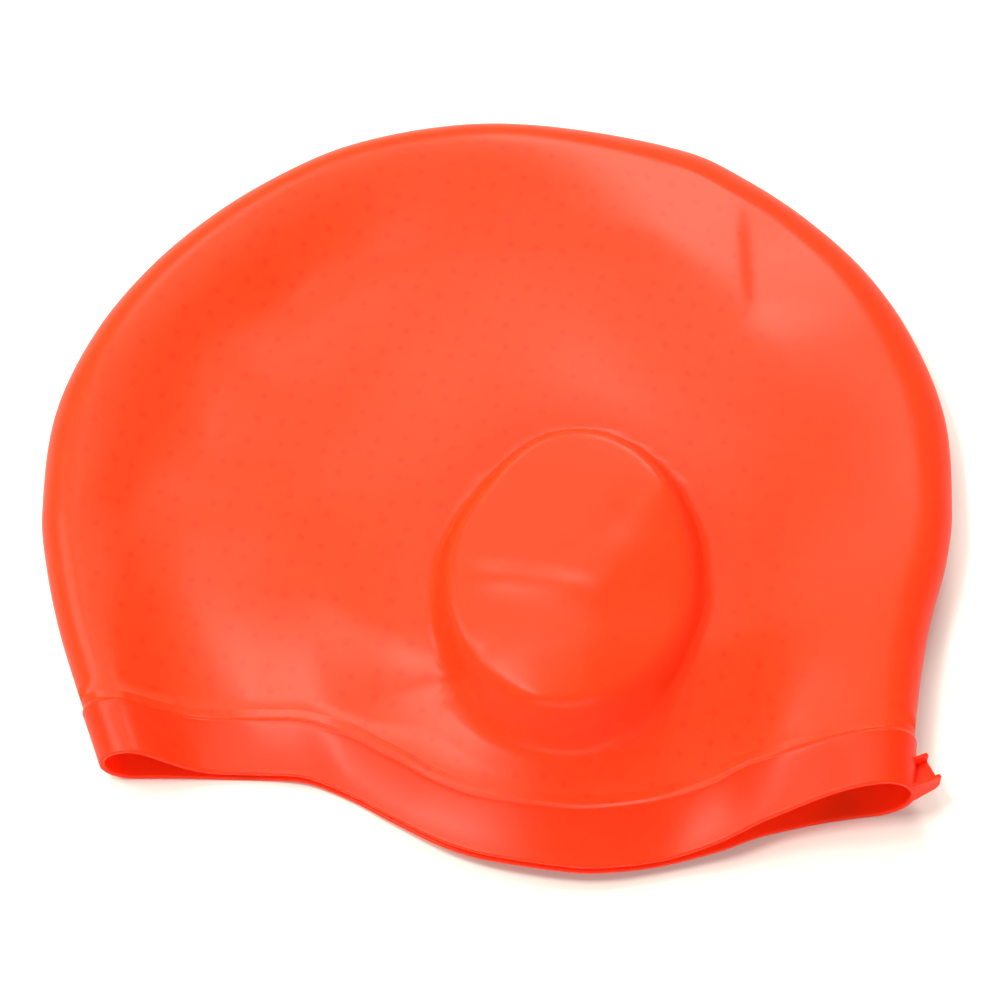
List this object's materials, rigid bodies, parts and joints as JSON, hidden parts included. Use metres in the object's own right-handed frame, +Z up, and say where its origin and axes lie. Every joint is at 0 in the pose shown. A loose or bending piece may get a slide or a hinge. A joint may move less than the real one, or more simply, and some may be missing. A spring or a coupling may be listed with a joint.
{
  "type": "swim cap",
  "caption": "Moulded silicone swim cap with an ear pocket on each side, a mouth band and a small pull tab, folded flat and lying on its side.",
  "frame": {"origin": "on the surface the cap lies on, under the middle of its box", "axes": "+X from the forehead to the nape, +Y from the mouth to the crown, +Z up out of the side that lies uppermost"},
  "size_m": [0.2298, 0.2142, 0.0331],
  "materials": {
    "silicone": "satin orange silicone"
  },
  "bodies": {
    "root": {"cap": "silicone"}
  },
  "joints": []
}
